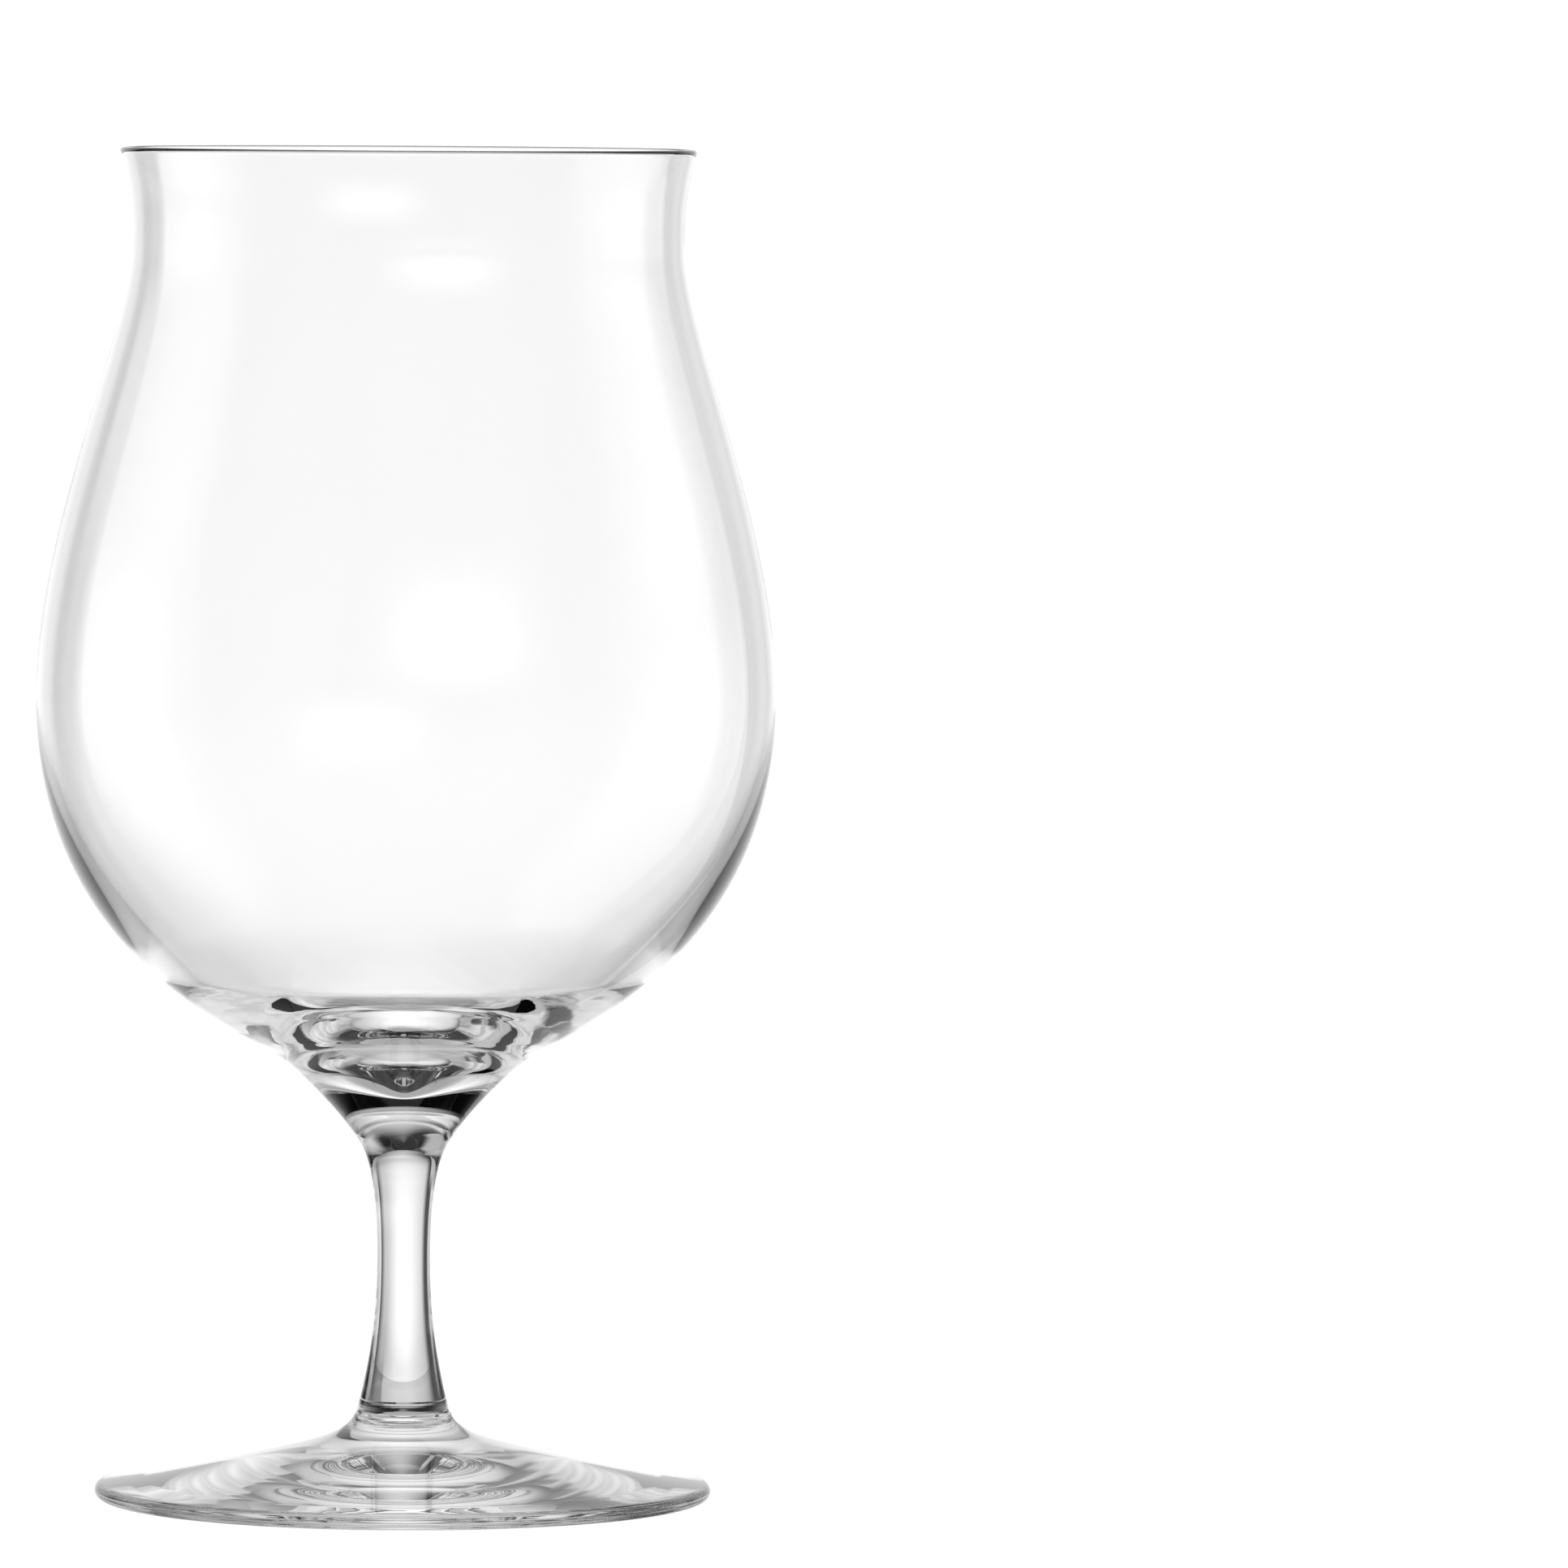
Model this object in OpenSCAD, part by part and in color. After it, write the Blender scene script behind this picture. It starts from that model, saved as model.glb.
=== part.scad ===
// Stemmed tulip beer glass in clear, colourless glass.
// Three pieces of glass are joined by two flat welds: the foot, the stem and the bowl.
// Millimetres, +Z up, with the origin at the middle of the foot, on the table.

/* [Foot] */
// Width of the foot
foot_d = 77; // [70:0.5:84]
// Height of the foot, from the table to its weld with the stem
foot_h = 10.8; // [9.5:0.1:14]
// Thickness of the foot's rounded edge
foot_edge_t = 2; // [1.6:0.1:2.6]
// Rise of the upper face where it meets the rounded edge, in degrees
foot_edge_rise = 9; // [6:0.5:12]
// Width of the foot at its shoulder, where the neck spreads into the disc
foot_shoulder_d = 24.7; // [20:0.1:30]
// Height of that shoulder above the table
foot_shoulder_h = 6.9; // [6:0.1:8]
// Rise of the upper face at the shoulder, in degrees
foot_shoulder_rise = 14.2; // [11:0.1:20]
// Width of the foot's neck, just under the weld
foot_neck_d = 12.1; // [11.8:0.1:13.5]
// Lean of the neck's side, in degrees from upright
foot_neck_lean = 17; // [10:1:30]
// Width of the ring that the foot stands on, from its outer edge inwards
foot_ring_w = 6.2; // [4:0.1:10]
// Height of the hollow under the foot, at its middle
foot_hollow_h = 1.4; // [0.5:0.1:2.4]
// Rise of the hollow where it leaves the ring, in degrees
foot_hollow_rise = 5; // [1:0.5:9]

/* [Stem] */
// Length of the stem, from weld to weld
stem_l = 33.6; // [28:0.2:60]
// Width of the stem at its slimmest
stem_waist_d = 6.6; // [5.6:0.1:8.4]
// Height of the slimmest place above the lower weld
stem_waist_h = 19.5; // [14:0.1:22]
// Width of the weld between the foot and the stem
lower_weld_d = 11.6; // [10.4:0.1:11.7]
// Lean of the stem's side at the lower weld, in degrees from upright
lower_weld_lean = 14.2; // [8:0.2:22]
// Width of the weld between the stem and the bowl
upper_weld_d = 10.9; // [10:0.1:13]
// Lean of the stem's side at the upper weld, in degrees from upright
upper_weld_lean = 32; // [16:0.5:36]

/* [Bowl] */
// Height of the bowl, from its weld with the stem to the rim
bowl_h = 124.1; // [115:0.1:140]
// Widest outside width of the bowl
belly_d = 92.2; // [84:0.1:100]
// Height of the widest place above the weld
belly_h = 55.9; // [50:0.1:62]
// Outside width of the waisted neck under the rim
neck_d = 68.9; // [62:0.1:71]
// Drop from the rim to the slimmest place of the neck
neck_drop = 12.3; // [9:0.1:18]
// Outside width of the rim
rim_d = 71.7; // [71.2:0.1:80]
// Flare of the rim, in degrees from upright
rim_flare = 15.2; // [10:0.2:22]
// Outside width where the solid base turns into the round bowl
base_turn_d = 29.5; // [25:0.1:34]
// Height of that turn above the weld
base_turn_h = 10.2; // [9:0.1:12]
// Lean of the outside at that turn, in degrees from upright
base_turn_lean = 53; // [48:0.5:58]
// Lean of the outside just above the weld, in degrees from upright
base_lean = 30.7; // [26:0.1:40]
// Thickness of the glass under the middle of the bowl's inside, above the weld
base_t = 9.2; // [8.4:0.1:11.4]
// Width of the inside's floor, at the turn where it steepens
floor_turn_d = 17.7; // [15.7:0.1:19.3]
// Rise of the floor from its middle to that turn
floor_turn_rise = 3.1; // [2.3:0.1:3.7]
// Lean of the inside at that turn, in degrees from upright
floor_turn_lean = 74; // [69:0.5:79]
// Width of the top of the well, where the inside opens into the round of the bowl
well_d = 32.5; // [30.5:0.1:35.5]
// Rise of the inside from the middle of the floor to the top of the well
well_rise = 6.6; // [5.8:0.1:7.4]
// Lean of the inside at the top of the well, in degrees from upright
well_lean = 62.5; // [56.5:0.5:67.5]

/* [Walls of the bowl] */
// Thickness of the wall where the bowl's side begins, under the widest place
side_t = 2.75; // [2.35:0.05:3.35]
// Thickness of the wall at the rim
rim_t = 0.95; // [0.8:0.05:1.4]
// Thickness of the wall at the neck
neck_t = 0.9; // [0.8:0.05:1.4]
// Thickness of the wall at the widest place
belly_t = 1.15; // [0.9:0.05:1.6]

/* [Hidden] */

// Straight steps in each flowing curve, in each rounded edge, and round each turned piece
curve_steps = 20;
round_steps = 8;
turn_steps = 180;

// How far each flowing curve keeps its end directions, as shares of the distance between its ends
foot_disc_shares = [0.13, 0.47];
foot_cove_shares = [0.3, 0.27];
foot_hollow_shares = [0.35, 0.4];
stem_lower_shares = [0.36, 0.38];
stem_upper_shares = [0.42, 0.21];
bowl_base_shares = [0.38, 0.09];
bowl_round_shares = [0.13, 0.59];
bowl_body_shares = [0.37, 0.18];
bowl_neck_shares = [0.12, 0.58];
inner_floor_shares = [0.19, 0.43];
inner_well_shares = [0.25, 0.36];
inner_round_shares = [0.13, 0.33];
inner_side_shares = [0.35, 0.39];

// How far along the outside, from its turn to the widest place, the wall has thinned to that of the side
side_share = 0.45;

// Leans that follow from how the curves meet, in degrees
upright = 0;
level = 90;

// Heights of the two welds and of the rim above the table
stem_z = foot_h;
bowl_z = stem_z + stem_l;
rim_z = bowl_z + bowl_h;

// Heights of the bowl's stations above the table
floor_z = bowl_z + base_t;
base_turn_z = bowl_z + base_turn_h;
belly_z = bowl_z + belly_h;
neck_z = rim_z - neck_drop;

// The neck of the foot stands a little proud of the stem, and its step is as high as it is wide
weld_step = (foot_neck_d - lower_weld_d) / 2;

// The rounded edges are half circles as thick as the glass that ends in them
foot_edge_r = foot_edge_t / 2;
foot_edge = [foot_d / 2 - foot_edge_r, foot_edge_r];
lip_r = rim_t / 2;
lip = [rim_d / 2 - lip_r, rim_z - lip_r];

color_share = [0.88, 0.92, 0.94, 0.45];

// A step of length one that leans outwards from upright by an angle
function leaning(angle) = [sin(angle), cos(angle)];

// The four guiding places of the cubic curve that leaves and arrives at the given leans
function guides(low, low_lean, high, high_lean, pull_shares) =
    let (distance = norm(high - low))
    [
        low,
        low + leaning(low_lean) * pull_shares[0] * distance,
        high - leaning(high_lean) * pull_shares[1] * distance,
        high
    ];

// The place between two others, at a share of the way
function between(from, to, share) = from + (to - from) * share;

// Guiding places one fewer, each at a share of the way between two neighbours
function narrowed(places, share) =
    [for (i = [0 : len(places) - 2]) between(places[i], places[i + 1], share)];

// The place on the curve at a share of its way
function on_curve(places, share) =
    len(places) == 1 ? places[0] : on_curve(narrowed(places, share), share);

// The lean of the curve at a share of its way, in degrees from upright
function lean_on_curve(places, share) =
    let (
        last_two = narrowed(narrowed(places, share), share),
        way = last_two[1] - last_two[0]
    )
    atan2(way[0], way[1]);

// The flowing curve from a lower to a higher place, leaving and arriving at the given leans
function flow(low, low_lean, high, high_lean, pull_shares) =
    let (places = guides(low, low_lean, high, high_lean, pull_shares))
    [for (i = [0 : curve_steps]) on_curve(places, i / curve_steps)];

// An arc round a centre, from one angle to another
function arc(centre, radius, from_angle, to_angle) =
    [for (i = [0 : round_steps])
        let (angle = from_angle + (to_angle - from_angle) * i / round_steps)
        centre + radius * [cos(angle), sin(angle)]];

function reversed(points) = [for (i = [len(points) - 1 : -1 : 0]) points[i]];

// Turns an outline round the upright axis
module turned(outline) {
    rotate_extrude($fn = turn_steps)
        polygon(outline);
}

// Pressed disc with a hollow underside, a rounded edge and a short neck
module foot() {
    ring = [foot_d / 2 - foot_ring_w, 0];
    hollow_top = [0, foot_hollow_h];
    disc_edge = foot_edge + foot_edge_r * leaning(foot_edge_rise);
    shoulder = [foot_shoulder_d / 2, foot_shoulder_h];
    neck = [foot_neck_d / 2, foot_h - weld_step];
    hollow = flow(ring, foot_hollow_rise - level, hollow_top, -level, foot_hollow_shares);
    disc = flow(disc_edge, foot_edge_rise - level, shoulder, foot_shoulder_rise - level, foot_disc_shares);
    cove = flow(shoulder, foot_shoulder_rise - level, neck, -foot_neck_lean, foot_cove_shares);
    color(color_share)
        turned(concat(
            reversed(hollow),
            arc(foot_edge, foot_edge_r, -level, level - foot_edge_rise),
            disc,
            cove,
            [[lower_weld_d / 2, foot_h], [0, foot_h]]
        ));
}

// Drawn stem, slimmest above its middle
module stem() {
    lower = [lower_weld_d / 2, stem_z];
    waist = [stem_waist_d / 2, stem_z + stem_waist_h];
    upper = [upper_weld_d / 2, bowl_z];
    color(color_share)
        turned(concat(
            [[0, stem_z]],
            flow(lower, -lower_weld_lean, waist, upright, stem_lower_shares),
            flow(waist, upright, upper, upper_weld_lean, stem_upper_shares),
            [[0, bowl_z]]
        ));
}

// Blown bowl on a solid base, with a waisted neck and a flared, fire-polished rim
module bowl() {
    weld = [upper_weld_d / 2, bowl_z];
    base_turn = [base_turn_d / 2, base_turn_z];
    belly = [belly_d / 2, belly_z];
    neck = [neck_d / 2, neck_z];
    rim = lip + lip_r * [cos(rim_flare), -sin(rim_flare)];
    outside = concat(
        flow(weld, base_lean, base_turn, base_turn_lean, bowl_base_shares),
        flow(base_turn, base_turn_lean, belly, upright, bowl_round_shares),
        flow(belly, upright, neck, upright, bowl_body_shares),
        flow(neck, upright, rim, rim_flare, bowl_neck_shares)
    );
    inner_floor = [0, floor_z];
    floor_turn = [floor_turn_d / 2, floor_z + floor_turn_rise];
    well = [well_d / 2, floor_z + well_rise];
    round_guides = guides(base_turn, base_turn_lean, belly, upright, bowl_round_shares);
    side_lean = lean_on_curve(round_guides, side_share);
    side = on_curve(round_guides, side_share) - side_t * leaning(side_lean + level);
    inner_belly = belly - [belly_t, 0];
    inner_neck = neck - [neck_t, 0];
    inner_rim = 2 * lip - rim;
    inside = concat(
        flow(inner_floor, level, floor_turn, floor_turn_lean, inner_floor_shares),
        flow(floor_turn, floor_turn_lean, well, well_lean, inner_well_shares),
        flow(well, well_lean, side, side_lean, inner_round_shares),
        flow(side, side_lean, inner_belly, upright, inner_side_shares),
        flow(inner_belly, upright, inner_neck, upright, bowl_body_shares),
        flow(inner_neck, upright, inner_rim, rim_flare, bowl_neck_shares)
    );
    color(color_share)
        turned(concat(
            [[0, bowl_z]],
            outside,
            arc(lip, lip_r, -rim_flare, 2 * level - rim_flare),
            reversed(inside)
        ));
}

foot();
stem();
bowl();
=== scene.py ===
"""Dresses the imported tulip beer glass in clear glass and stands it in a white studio.

Lengths are in metres in the row frame: +Z up, the origin at the middle of the foot, on the table.
The foot, the stem and the bowl are turned again as smooth pieces from the same outline as the solids,
and each of them stands for the solid of its name.
"""

from __future__ import annotations

import logging
import math
from dataclasses import dataclass, field, replace
from enum import Enum

import bpy
from mathutils import Matrix, Vector

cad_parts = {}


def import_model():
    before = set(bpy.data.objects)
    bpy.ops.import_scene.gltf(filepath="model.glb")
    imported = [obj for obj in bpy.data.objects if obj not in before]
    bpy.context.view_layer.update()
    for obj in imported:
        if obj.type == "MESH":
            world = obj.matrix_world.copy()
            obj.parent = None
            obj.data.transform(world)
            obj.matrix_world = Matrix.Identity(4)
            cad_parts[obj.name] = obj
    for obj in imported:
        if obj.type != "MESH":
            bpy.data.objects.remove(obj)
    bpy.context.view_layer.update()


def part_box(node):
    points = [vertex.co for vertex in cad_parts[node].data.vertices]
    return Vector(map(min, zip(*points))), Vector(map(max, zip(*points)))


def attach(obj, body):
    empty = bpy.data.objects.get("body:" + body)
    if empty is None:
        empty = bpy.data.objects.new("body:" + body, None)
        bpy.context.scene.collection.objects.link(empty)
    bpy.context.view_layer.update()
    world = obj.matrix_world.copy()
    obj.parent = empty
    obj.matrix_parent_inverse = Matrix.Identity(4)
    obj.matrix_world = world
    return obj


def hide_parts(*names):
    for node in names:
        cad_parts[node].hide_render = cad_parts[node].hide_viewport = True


LOG = logging.getLogger("tulip_glass")
BODY = "root"
MM = 0.001

# Leans in degrees from upright
UPRIGHT = 0.0
LEVEL = 90.0

# Places nearer to each other than this are one place
SAME_PLACE = 1e-3 * MM

# The height of a weld that a piece doesn't have, where it has no face
NO_WELD = -1.0

Point = tuple[float, float]
Shares = tuple[float, float]
Tint = tuple[float, float, float, float]


def leaning(angle: float) -> Vector:
    """Gives a step of length one that leans outwards from upright.

    Args:
        angle: The lean in degrees.

    Returns:
        The step as (outwards, upwards).
    """
    return Vector((math.sin(math.radians(angle)), math.cos(math.radians(angle))))


@dataclass(frozen=True)
class Flow:
    """A flowing curve from a lower to a higher place.

    Its leans are in degrees from upright, and its pulls say how far it keeps each end's direction, as
    shares of the distance between its ends.
    """

    low: Point
    low_lean: float
    high: Point
    high_lean: float
    pulls: Shares

    def _guides(self) -> tuple[Vector, Vector, Vector, Vector]:
        """Gives the places that guide the curve.

        Returns:
            Its two ends and, between them, the two places that pull it.
        """
        start, end = Vector(self.low), Vector(self.high)
        distance = (end - start).length
        after = start + leaning(self.low_lean) * self.pulls[0] * distance
        before = end - leaning(self.high_lean) * self.pulls[1] * distance
        return start, after, before, end

    def at(self, share: float) -> Vector:
        """Gives the place at a share of the way.

        Args:
            share: The share, from nothing to one.

        Returns:
            The place, as (radius, height).
        """
        a, b, c, d = self._guides()
        left = 1 - share
        return left**3 * a + 3 * left**2 * share * b + 3 * left * share**2 * c + share**3 * d

    def heading(self, share: float) -> Vector:
        """Gives the direction of the curve at a share of the way.

        Args:
            share: The share, from nothing to one.

        Returns:
            A step of length one.
        """
        a, b, c, d = self._guides()
        left = 1 - share
        return (left**2 * (b - a) + 2 * left * share * (c - b) + share**2 * (d - c)).normalized()

    def places(self, steps: int) -> list[Point]:
        """Gives the places along the curve.

        Args:
            steps: The number of straight steps.

        Returns:
            The places, with both ends.
        """
        return [tuple(self.at(i / steps)) for i in range(steps + 1)]


def arc(centre: Point, radius: float, first: float, last: float, steps: int) -> list[Point]:
    """Draws an arc round a centre.

    Args:
        centre: The middle of the arc, as (radius, height).
        radius: The arc's own radius.
        first: The angle of its first place, in degrees.
        last: The angle of its last place.
        steps: The number of straight steps.

    Returns:
        The places along the arc, with both ends.
    """
    places = []
    for i in range(steps + 1):
        angle = math.radians(first + (last - first) * i / steps)
        places.append((centre[0] + radius * math.cos(angle), centre[1] + radius * math.sin(angle)))
    return places


def joined(*runs: list[Point]) -> list[Point]:
    """Joins runs of places into one outline.

    Args:
        runs: The runs, in order. A place that repeats the one before it is left out.

    Returns:
        The outline.
    """
    outline: list[Point] = []
    for place in (place for run in runs for place in run):
        if not outline or math.dist(outline[-1], place) > SAME_PLACE:
            outline.append(place)
    return outline


@dataclass
class NodeSheet:
    """A node tree that is being written, with short ways to add to it."""

    tree: bpy.types.NodeTree

    def add(self, kind: str, **settings: object) -> bpy.types.Node:
        """Adds a node.

        Args:
            kind: The node's type name.
            settings: Its properties, by name.

        Returns:
            The node.
        """
        node = self.tree.nodes.new(kind)
        for name, value in settings.items():
            setattr(node, name, value)
        return node

    def join(self, source: bpy.types.NodeSocket, target: bpy.types.NodeSocket) -> None:
        """Links an output to an input."""
        self.tree.links.new(source, target)

    def give(self, socket: bpy.types.NodeSocket, value: object) -> None:
        """Sets or links one input.

        Args:
            socket: The input.
            value: A socket or a plain value.
        """
        if isinstance(value, bpy.types.NodeSocket):
            self.join(value, socket)
        else:
            socket.default_value = value

    def feed(self, node: bpy.types.Node, **inputs: object) -> bpy.types.Node:
        """Sets or links a node's inputs.

        Args:
            node: The node.
            inputs: Sockets or plain values, by the input's name with its spaces as underscores.

        Returns:
            The node.
        """
        for name, value in inputs.items():
            self.give(node.inputs[name.replace("_", " ")], value)
        return node

    def reckon(self, operation: str, *values: object) -> bpy.types.NodeSocket:
        """Adds a Math node.

        Args:
            operation: Its operation.
            values: Sockets or plain numbers for its inputs.

        Returns:
            Its result.
        """
        node = self.add("ShaderNodeMath", operation=operation)
        for socket, value in zip(node.inputs, values):
            self.give(socket, value)
        return node.outputs[0]

    def shade_with(self, shader: bpy.types.Node) -> None:
        """Gives a new material another shader than the one it starts with.

        Args:
            shader: The shader, in the material's nodes.
        """
        self.tree.nodes.remove(self.tree.nodes["Principled BSDF"])
        end = next(node for node in self.tree.nodes if node.type == "OUTPUT_MATERIAL")
        self.join(shader.outputs[0], end.inputs["Surface"])


@dataclass(frozen=True)
class Socket:
    """A named input or output of a shared tree."""

    name: str
    kind: str = "NodeSocketFloat"
    value: object = None


class SharedTree:
    """A node tree that is built once and found by its name after that."""

    NAME: str
    KIND = "ShaderNodeTree"
    INPUTS: tuple[Socket, ...]
    OUTPUTS: tuple[Socket, ...]

    @classmethod
    def tree(cls) -> bpy.types.NodeTree:
        """Gives the tree, and builds it the first time.

        Returns:
            The tree, with its named inputs and outputs.
        """
        found = bpy.data.node_groups.get(cls.NAME)
        if found:
            return found
        tree = bpy.data.node_groups.new(cls.NAME, cls.KIND)
        for in_out, sockets in (("INPUT", cls.INPUTS), ("OUTPUT", cls.OUTPUTS)):
            for socket in sockets:
                made = tree.interface.new_socket(socket.name, in_out=in_out, socket_type=socket.kind)
                if socket.value is not None:
                    made.default_value = socket.value
        cls.write(NodeSheet(tree))
        return tree

    @classmethod
    def write(cls, sheet: NodeSheet) -> None:
        """Writes the tree's nodes."""
        raise NotImplementedError


@dataclass(frozen=True)
class Ripple:
    """One waviness of the glass.

    Its draw stretches the waves round the axis, and it fades out below and above a band of heights, which
    is as high as the whole glass where none is given.
    """

    size: float
    depth: float
    draw: float = 1.0
    low: float = -1.0
    high: float = 1.0
    fade: float = 4.0 * MM

    def place(self, sheet: NodeSheet) -> bpy.types.Node:
        """Places the shared ripple group with this ripple's own values.

        Args:
            sheet: The material's nodes.

        Returns:
            The placed group.
        """
        placed = sheet.add("ShaderNodeGroup", node_tree=GlassRipple.tree())
        return sheet.feed(
            placed,
            Wave_Size=self.size,
            Depth=self.depth,
            Draw=self.draw,
            Low=self.low,
            High=self.high,
            Fade=self.fade,
        )


class GlassRipple(SharedTree):
    """The slow waviness that blown and pressed glass has, as one shader group.

    Its Height is in metres, and its Tint runs from nothing to one.
    """

    NAME = "glass_ripple"
    INPUTS = tuple(map(Socket, ("Wave Size", "Depth", "Draw", "Low", "High", "Fade")))
    OUTPUTS = (Socket("Height"), Socket("Tint"))
    DETAIL = 1.5
    FINE_SHARE = 0.45
    NOISE_MEAN = 0.5

    @classmethod
    def write(cls, sheet: NodeSheet) -> None:
        """Writes a noise that is drawn out round the axis and fades outside its band of heights.

        Args:
            sheet: The group.
        """
        given = sheet.add("NodeGroupInput").outputs
        place = sheet.add("ShaderNodeTexCoord").outputs["Object"]
        part = sheet.feed(sheet.add("ShaderNodeSeparateXYZ"), Vector=place).outputs
        wide = sheet.reckon("MULTIPLY", given["Wave Size"], given["Draw"])
        drawn = sheet.feed(
            sheet.add("ShaderNodeCombineXYZ"),
            X=sheet.reckon("DIVIDE", part["X"], wide),
            Y=sheet.reckon("DIVIDE", part["Y"], wide),
            Z=sheet.reckon("DIVIDE", part["Z"], given["Wave Size"]),
        )
        wave = sheet.feed(
            sheet.add("ShaderNodeTexNoise"),
            Vector=drawn.outputs[0],
            Scale=1.0,
            Detail=cls.DETAIL,
            Roughness=cls.FINE_SHARE,
        )
        above = sheet.reckon("SUBTRACT", part["Z"], given["Low"])
        below = sheet.reckon("SUBTRACT", given["High"], part["Z"])
        band = sheet.feed(
            sheet.add("ShaderNodeMapRange", interpolation_type="SMOOTHSTEP"),
            Value=sheet.reckon("MINIMUM", above, below),
            From_Max=given["Fade"],
        )
        swing = sheet.reckon("SUBTRACT", wave.outputs[0], cls.NOISE_MEAN)
        faded = sheet.reckon("MULTIPLY", swing, band.outputs[0])
        sheet.feed(
            sheet.add("NodeGroupOutput"),
            Height=sheet.reckon("MULTIPLY", faded, given["Depth"]),
            Tint=wave.outputs[0],
        )


@dataclass(frozen=True)
class Finish:
    """The finish of a piece of the glass or of the studio."""

    name: str

    def material(self) -> bpy.types.Material:
        """Makes the material.

        Returns:
            A material with this finish's nodes.
        """
        material = bpy.data.materials.new(self.name)
        material.use_nodes = True
        self.write(NodeSheet(material.node_tree))
        return material

    def write(self, sheet: NodeSheet) -> None:
        """Writes the finish's nodes."""
        raise NotImplementedError


@dataclass(frozen=True)
class ClearGlass(Finish):
    """The finish of one piece of clear glass, whose waviness and tint follow its ripples."""

    ripples: tuple[Ripple, ...]
    ior: float = 1.52
    clear_tint: Tint = (1.0, 1.0, 1.0, 1.0)
    deep_tint: Tint = (0.988, 0.989, 0.988, 1.0)

    def write(self, sheet: NodeSheet) -> None:
        """Writes the ripples, the bump and tint that they make, and the glass.

        Args:
            sheet: The material's nodes.
        """
        placed = [ripple.place(sheet).outputs for ripple in self.ripples]
        height = placed[0]["Height"]
        for more in placed[1:]:
            height = sheet.reckon("ADD", height, more["Height"])
        bump = sheet.feed(sheet.add("ShaderNodeBump"), Strength=1.0, Distance=1.0, Height=height)
        tint = sheet.add("ShaderNodeMix", data_type="RGBA")
        sheet.join(placed[0]["Tint"], tint.inputs[0])
        colours = [socket for socket in tint.inputs if socket.type == "RGBA"]
        colours[0].default_value = self.deep_tint
        colours[1].default_value = self.clear_tint
        sheet.feed(
            sheet.tree.nodes["Principled BSDF"],
            Base_Color=next(socket for socket in tint.outputs if socket.type == "RGBA"),
            Roughness=0.0,
            Normal=bump.outputs[0],
            Metallic=0.0,
            IOR=self.ior,
            Transmission_Weight=1.0,
        )


@dataclass(frozen=True)
class FusedWeld(Finish):
    """The finish of the faces where two pieces of glass are fused: light passes them straight."""

    name: str = "fused_weld"

    def write(self, sheet: NodeSheet) -> None:
        """Writes a fully see-through material."""
        sheet.shade_with(sheet.add("ShaderNodeBsdfTransparent"))


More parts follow.
